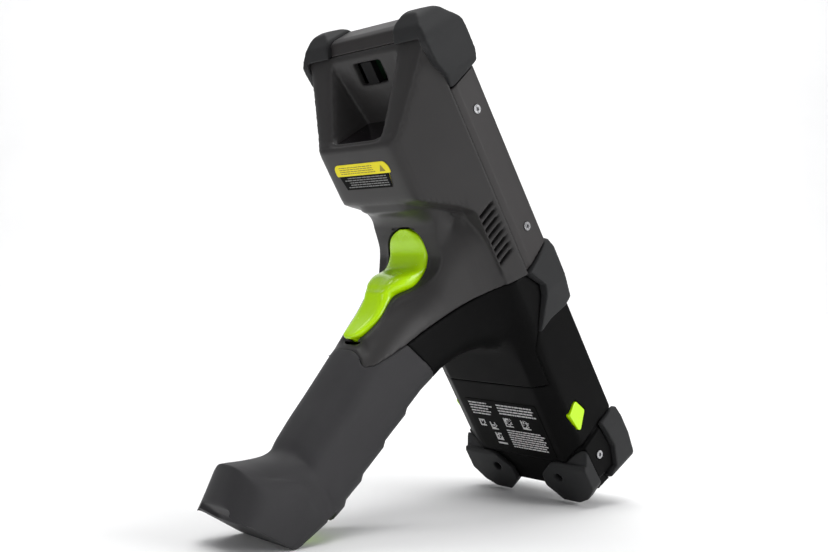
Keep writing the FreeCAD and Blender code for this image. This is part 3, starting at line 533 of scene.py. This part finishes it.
def along_and_out(points):
    """Device positions (y, z) as distances along the trigger's face, and outwards from it."""
    return points @ ALONG_TRIGGER, points @ OUT_OF_TRIGGER


def seat_trigger(piece, voxel):
    """Draw the neck in, where it stands out past the trigger's rim line."""
    points = in_device(piece.data)
    stations = np.array(TRIGGER_STATIONS)[::-1]
    rim_along, rim_out = along_and_out(stations[:, 0:2])
    along, outwards = along_and_out(points[:, 1:3])
    level = smoothstep(rim_along[0] - 8, rim_along[0] + 4, along)
    level *= smoothstep(rim_along[-1] + 12, rim_along[-1], along)
    excess = np.maximum(outwards - np.interp(along, rim_along, rim_out) - 0.3, 0.0)
    inwards = excess * 0.9 * level * smoothstep(34.0, 20.0, np.abs(points[:, 0])) * (points[:, 1] < 162)
    points[:, 1:3] -= inwards[:, None] * OUT_OF_TRIGGER
    set_from_device(piece.data, points)
    near = smoothstep(30.0, 24.0, np.abs(points[:, 0])) * level * smoothstep(-30.0, -36.0, points[:, 2])
    return smoothed(piece, rounds_for(3.7, voxel), near)


def through(points, steps):
    """Smooth curve through rows of numbers (Catmull-Rom), with steps between each two rows."""
    rows = np.array(points, float)
    rows = np.vstack([2 * rows[0] - rows[1], rows, 2 * rows[-1] - rows[-2]])
    curve = []
    for i in range(1, len(rows) - 2):
        before, start, end, after = rows[i - 1:i + 3]
        bend = 2 * before - 5 * start + 4 * end - after
        twist = 3 * start - before - 3 * end + after
        for t in np.arange(steps) / steps:
            curve.append(0.5 * (2 * start + (end - before) * t + bend * t ** 2 + twist * t ** 3))
    curve.append(rows[-2])
    return np.array(curve)


TRIGGER_PIVOT = np.array(DEVICE.inverted() @ Vector(
    [j for j in frame["record"]["behaviour"]["joints"] if j["name"] == "trigger_pull"][0]["pos_m"]))[1:3]
SWING_FROM = 40.0
PAD_STEPS = 40
PAD_ROUNDNESS = 0.62
PAD_DISH = 0.10
END_ROOM = 1.6
WELL_ROOM, WELL_PROUD, WELL_DEPTH = 0.55, 4.0, 16.0
BLADE_SKIRT = 3.0


def way_in(rim, front):
    """Direction into the well at one station: across the pad near the pivot, along the swing far from it."""
    across = (rim - front) / np.linalg.norm(rim - front)
    arm = rim - TRIGGER_PIVOT
    swing = np.array((arm[1], -arm[0])) / np.linalg.norm(arm)
    swing *= math.copysign(1.0, swing @ across)
    share = min(1.0, np.linalg.norm(arm) / SWING_FROM)
    return across * (1 - share) + swing * share


def blade_rings(grow, proud, skirt):
    """Cross-sections of the trigger's pad in device millimetres, with a skirt that follows its swing.

    A cutter for the well is the pad grown sideways and endways, with square sides, standing proud.
    """
    rings = []
    stations = through(TRIGGER_STATIONS, 6)
    for i, (rim_y, rim_z, front_y, front_z, half) in enumerate(stations):
        end_room = END_ROOM * grow * (1 - 2 * i / (len(stations) - 1)) * ALONG_TRIGGER
        rim, front = np.array((rim_y, rim_z)) + end_room, np.array((front_y, front_z)) + end_room
        inward = way_in(rim, front)
        deep = rim + inward * skirt
        ring = [(half + grow, *deep)]
        for k in range(PAD_STEPS + 1):
            angle = math.pi * k / PAD_STEPS
            reach = math.copysign(abs(math.cos(angle)) ** PAD_ROUNDNESS, math.cos(angle))
            rise = math.sin(angle) ** PAD_ROUNDNESS
            dish = PAD_DISH * max(0.0, 1 - (reach / 0.8) ** 2) ** 2
            lifted = rim + (front - rim) * (rise - dish) - inward * proud * rise
            if proud and rise < 0.9:
                reach = math.copysign(1, reach)
            ring.append(((half + grow) * reach, *lifted))
        ring.append((-half - grow, *deep))
        rings.append(ring)
    return rings


def solid_through(name, rings):
    """Closed mesh through rings of device points."""
    build = bmesh.new()
    made = [[build.verts.new(DEVICE @ Vector(point)) for point in ring] for ring in rings]
    for a, b in zip(made, made[1:]):
        for i in range(len(a)):
            k = (i + 1) % len(a)
            build.faces.new((a[i], a[k], b[k], b[i]))
    build.faces.new(made[0][::-1])
    build.faces.new(made[-1])
    bmesh.ops.recalc_face_normals(build, faces=build.faces)
    mesh = bpy.data.meshes.new(name)
    build.to_mesh(mesh)
    build.free()
    return new_object(name, mesh)


def trigger_blade():
    """Two-lobed finger pad: dished across its face, rolled over at its rim, with a skirt into the well."""
    piece = remeshed(solid_through("trigger_blade", blade_rings(0.0, 0.0, BLADE_SKIRT)), 0.4)
    smoothed(piece, 4)
    shade_smooth(piece)
    dress(piece, "trigger", MATERIALS["accent"])


def cut_away(piece, cutter):
    """Take a closed cutter out of a closed piece."""
    cut = piece.modifiers.new("cut", "BOOLEAN")
    cut.operation = "DIFFERENCE"
    cut.solver = "MANIFOLD"
    cut.object = cutter
    applied(piece)
    bpy.data.objects.remove(cutter)


VENTS, FIRST_VENT_Y, VENT_PITCH, VENT_WIDTH, VENT_SLANT = 8, 123.1, 3.4, 1.5, 4.1
VENT_LOW_Z, VENT_HIGH_Z = -27.0, -19.6
VENT_REACH = (34.0, 45.0)


def vent_cutter():
    """Row of slanted slots through each side of the housing."""
    whole = bmesh.new()
    for side in (-1, 1):
        for i in range(VENTS):
            low = FIRST_VENT_Y + VENT_PITCH * i
            high = low + VENT_SLANT
            outline = [(low, VENT_LOW_Z), (low + VENT_WIDTH, VENT_LOW_Z),
                       (high + VENT_WIDTH, VENT_HIGH_Z), (high, VENT_HIGH_Z)]
            ends = [[whole.verts.new(DEVICE @ Vector((side * x, y, z))) for y, z in outline]
                    for x in VENT_REACH]
            whole.faces.new(ends[0])
            whole.faces.new(ends[1][::-1])
            for k in range(4):
                whole.faces.new((ends[0][k], ends[1][k], ends[1][(k + 1) % 4], ends[0][(k + 1) % 4]))
    bmesh.ops.recalc_face_normals(whole, faces=whole.faces)
    mesh = bpy.data.meshes.new("vent_cutter")
    whole.to_mesh(mesh)
    whole.free()
    return new_object("vent_cutter", mesh)


# ---------------------------------------------------------------- grip and foot
RIB_LEVELS = [-60.0, -86.0, -105.0, -124.0, -138.0, -150.0]
RIB_INSET, RIB_STEP, RIB_SLOPE = 1.35, 2.4, 0.32
FOOT_HALF_WIDTH, FOOT_SPREAD, FOOT_MIDDLE_Y, FOOT_ROUNDNESS = 17.4, 3.0, 88.0, 2.5
FOOT_FRONT_LEVELS = [-187.0, -171.0, -158.5, -152.0, -146.0]
FOOT_FRONT_Y = [102.8, 114.8, 108.0, 104.6, 103.4]


def grip_ribs(piece):
    """Shallow steps across the back of the grip: each tapers in, then steps out again."""
    points, normals = in_device(piece.data), normals_in_device(piece.data)
    level = points[:, 2] + RIB_SLOPE * (points[:, 1] - 66.0)
    inset = np.zeros(len(points))
    for top, bottom in zip(RIB_LEVELS, RIB_LEVELS[1:]):
        t = (top - level) / (top - bottom)
        step = RIB_STEP / (top - bottom)
        ramp = np.where(t < 1 - step, t / (1 - step), (1 - t) / step)
        inset = np.where((t >= 0) & (t < 1), RIB_INSET * ramp, inset)
    rearward = smoothstep(0.25, 0.8, -normals[:, 1])
    points[:, 1] += inset * rearward
    set_from_device(piece.data, points)


def above_crease(points):
    """Distance above the sloping crease that runs round the foot from its toe to its heel."""
    return 0.773 * (points[:, 2] + 148.0) + 0.635 * (points[:, 1] - 87.0)


def above_sole(points):
    """Distance above the sloping sole, from its heel to its toe."""
    return 0.4965 * (points[:, 1] - 75.0) + 0.868 * (points[:, 2] + 172.0)


def shape_foot(piece, voxel):
    """Round toe, and a foot that draws in to the grip above its crease: what lies outside is brought in."""
    points = in_device(piece.data)
    across, y, z = np.abs(points[:, 0]), points[:, 1], points[:, 2]
    foot = smoothstep(-144.6, -145.4, z)
    front = np.interp(z, FOOT_FRONT_LEVELS, FOOT_FRONT_Y)
    spread = np.minimum(1 - smoothstep(0.0, 5.0, above_crease(points)), smoothstep(-146.0, -157.0, z))
    half = FOOT_HALF_WIDTH + FOOT_SPREAD * spread
    forward = np.maximum(y - FOOT_MIDDLE_Y, 0.0) / (front - FOOT_MIDDLE_Y)
    outside = (np.abs(across / half) ** FOOT_ROUNDNESS + forward ** FOOT_ROUNDNESS) ** (1 / FOOT_ROUNDNESS)
    shrink = 1 + (1 / np.maximum(outside, 1.0) - 1) * foot
    points[:, 0] *= shrink
    points[:, 1] = np.where(y > FOOT_MIDDLE_Y, FOOT_MIDDLE_Y + (y - FOOT_MIDDLE_Y) * shrink, y)
    set_from_device(piece.data, points)
    wall = smoothstep(1.0, 4.0, above_sole(points)) * smoothstep(-0.3, -3.0, above_crease(points))
    hollow = smoothstep(0.3, 3.5, above_crease(points)) * smoothstep(-128.0, -140.0, points[:, 2])
    smoothed(piece, rounds_for(4.5, voxel), wall * smoothstep(-143.0, -147.0, points[:, 2]))
    return smoothed(piece, rounds_for(9.0, voxel), hollow)


def grip_and_foot(voxel, flow):
    """The grip's rubber runs on into the foot without a seam."""
    piece = remeshed(joined_copy("grip_rubber_skin", ["grip_overmould", "foot_base"]), voxel)
    smoothed(piece, 3)
    follow_flow(piece, flow)
    shape_foot(piece, voxel)
    grip_ribs(piece)
    shade_smooth(piece)
    dress(piece, "grip_overmould", MATERIALS["grip"])
    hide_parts("foot_base")


# ---------------------------------------------------------------- pieces
LATCH_BUTTON, LATCH_SHARE = 2.2, 0.4
HEEL_SHIFT = 0.9


def rear_housing(voxel, flow):
    """The housing's opening is first closed with the trigger's own solid, then cut to the shaped pad."""
    piece = remeshed(joined_copy("rear_housing_moulding", ["rear_housing", "trigger"]), voxel)
    smoothed(piece, 3)
    follow_flow(piece, flow)
    seat_trigger(piece, voxel)
    well = solid_through("well_cutter", blade_rings(WELL_ROOM, WELL_PROUD, WELL_DEPTH))
    cut_away(piece, remeshed(well, 0.5))
    cut_away(piece, vent_cutter())
    shade_smooth(piece)
    dress(piece, "rear_housing", MATERIALS["head_housing"])


def press_in(piece):
    """Bring a latch's button nearly flush with the side of the battery."""
    points = in_device(piece.data)
    across = np.abs(points[:, 0])
    base = across.max() - LATCH_BUTTON
    drawn_in = np.where(across > base, base + LATCH_SHARE * (across - base), across)
    points[:, 0] = np.sign(points[:, 0]) * drawn_in
    set_from_device(piece.data, points)


def heel_strip():
    """The heel's accent strip stands out a little from the back of the foot."""
    piece = moulded("heel_insert", 0.3, 3, MATERIALS["accent"])
    points = in_device(piece.data)
    points[:, 1] -= HEEL_SHIFT
    set_from_device(piece.data, points)


def build_pieces():
    flow = flowing_form()
    fine, coarse = ((0.6, 0.8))
    rear_housing(fine, flow)
    moulded("front_housing", coarse, 3, MATERIALS["lower_housing"], flow)
    moulded("lower_housing", fine, 3, MATERIALS["lower_housing"], flow)
    grip_and_foot(fine, flow)
    moulded("head_cap", fine, 3, MATERIALS["panel"])
    moulded("battery_end_cap", fine, 3, MATERIALS["lower_housing"])
    for side in ("left", "right"):
        moulded("side_panel_" + side, 0.5, 2, MATERIALS["panel"])
        moulded("head_bumper_" + side, 0.5, 12, MATERIALS["rubber"])
        moulded("waist_bumper_" + side, 0.4, 8, MATERIALS["rubber"])
        moulded("tail_bumper_top_" + side, 0.4, 8, MATERIALS["rubber"])
        moulded("tail_bumper_bottom_" + side, 0.4, 8, MATERIALS["rubber"])
        press_in(moulded("latch_" + side, 0.3, 3, MATERIALS["accent"]))
    trigger_blade()
    heel_strip()


def dress_cad_nodes():
    """Every CAD node that still shows gets a node material of its slot."""
    for name, node in frame["nodes"].items():
        if not node.hide_render:
            slot = SLOT_OF[name]
            node.data.materials.clear()
            node.data.materials.append(MATERIALS.get(slot, MATERIALS["inner"]))


# ---------------------------------------------------------------- stage
def stage_floor():
    """Pale sweep: a floor that curves up into a backdrop far behind the object."""
    mesh = bpy.data.meshes.new("floor")
    build = bmesh.new()
    bend_starts, bend = 1.6, 0.8
    profile = [(-3.0, 0.0), (bend_starts, 0.0)]
    for step in range(1, 13):
        angle = step * math.pi / 24
        profile.append((bend_starts + bend * math.sin(angle), bend - bend * math.cos(angle)))
    profile.append((bend_starts + bend, 3.5))
    away = Euler((0, 0, CAMERA_AZIMUTH)).to_matrix()
    rows = [[build.verts.new(away @ Vector((side * 4.0, forward, height))) for side in (-1, 1)]
            for forward, height in profile]
    for near, far in zip(rows, rows[1:]):
        build.faces.new((near[0], near[1], far[1], far[0]))
    build.to_mesh(mesh)
    build.free()
    floor = new_object("floor", mesh)
    shade_smooth(floor)
    paint = Nodes("floor_paint")
    paint.link(paint.ramp(paint.noise(6.0), [(0.3, (0.88, 0.88, 0.88)), (0.7, (0.9, 0.9, 0.9))]),
               paint.shader.inputs["Base Color"])
    paint.settle(Roughness=0.9)
    mesh.materials.append(paint.material)


def area_light(name, place, target, size, power):
    lamp = bpy.data.lights.new(name, "AREA")
    lamp.shape = "RECTANGLE"
    lamp.size, lamp.size_y = size
    lamp.energy = power
    holder = bpy.data.objects.new(name, lamp)
    bpy.context.scene.collection.objects.link(holder)
    holder.location = place
    holder.rotation_euler = (target - place).to_track_quat("-Z", "Y").to_euler()


CAMERA_BODY_PITCH = 59.0
CAMERA_AZIMUTH, CAMERA_ELEVATION = math.radians(230.0), math.radians(0.8)
TARGET_RIGHT, TARGET_UP = 0.0922, 0.0530
CAMERA_TARGET, CAMERA_DISTANCE = Vector((-43.0, 139.0, -9.2)), 517.6


def set_camera():
    """Camera of the fitted view: a point on the waist's edge sits right of and above the picture's middle."""
    back = Vector((math.sin(CAMERA_AZIMUTH) * math.cos(CAMERA_ELEVATION),
                   -math.cos(CAMERA_AZIMUTH) * math.cos(CAMERA_ELEVATION), math.sin(CAMERA_ELEVATION)))
    right = (-back).cross(Vector((0, 0, 1))).normalized()
    up = back.cross(right)
    off_axis = right * TARGET_RIGHT + up * TARGET_UP - back
    fitted = Matrix.Rotation(math.radians(CAMERA_BODY_PITCH), 3, "X")
    actual = DEVICE.to_3x3() * (1 / MM)
    change = actual @ fitted.inverted()
    target = DEVICE @ CAMERA_TARGET
    turn = change @ Matrix((right, up, back)).transposed()
    place = target - (change @ off_axis) * CAMERA_DISTANCE * MM
    camera = bpy.data.objects.new("camera", bpy.data.cameras.new("camera"))
    bpy.context.scene.collection.objects.link(camera)
    camera.data.lens = 50.0
    camera.data.sensor_width = 36.0
    camera.data.clip_start = 0.01
    camera.matrix_world = Matrix.Translation(place) @ turn.to_4x4()
    bpy.context.scene.camera = camera
    return camera


def light_studio(camera):
    """Large soft boxes from the camera's right and left and overhead, and one that lights the backdrop."""
    middle = Vector((0.0, 0.0, 0.12))
    basis = camera.matrix_world.to_3x3()
    right, up, back = basis.col[0], basis.col[1], basis.col[2]
    area_light("key_light", middle + right * 1.1 + up * 0.35 + back * 0.55, middle, (0.5, 0.9), 9.5)
    area_light("fill_light", middle - right * 0.8 + up * 0.15 + back * 1.0, middle, (0.4, 0.9), 3.2)
    area_light("top_light", middle + up * 1.1 + back * 0.25, middle, (0.8, 0.5), 6.0)
    backdrop = middle - back * 2.2 + up * 0.1
    area_light("sweep_light", middle + up * 1.6 - back * 0.6, backdrop, (2.4, 1.2), 48.0)
    world = bpy.data.worlds.new("studio")
    bpy.context.scene.world = world
    world.use_nodes = True
    ambient = world.node_tree.nodes["Background"].inputs
    ambient["Color"].default_value = (0.95, 0.96, 1.0, 1.0)
    ambient["Strength"].default_value = 0.17
    bpy.context.scene.view_settings.view_transform = "Standard"


build_pieces()
dress_cad_nodes()
rating_print()
caution_print()
key_legends()
camera = set_camera()
stage_floor()
light_studio(camera)
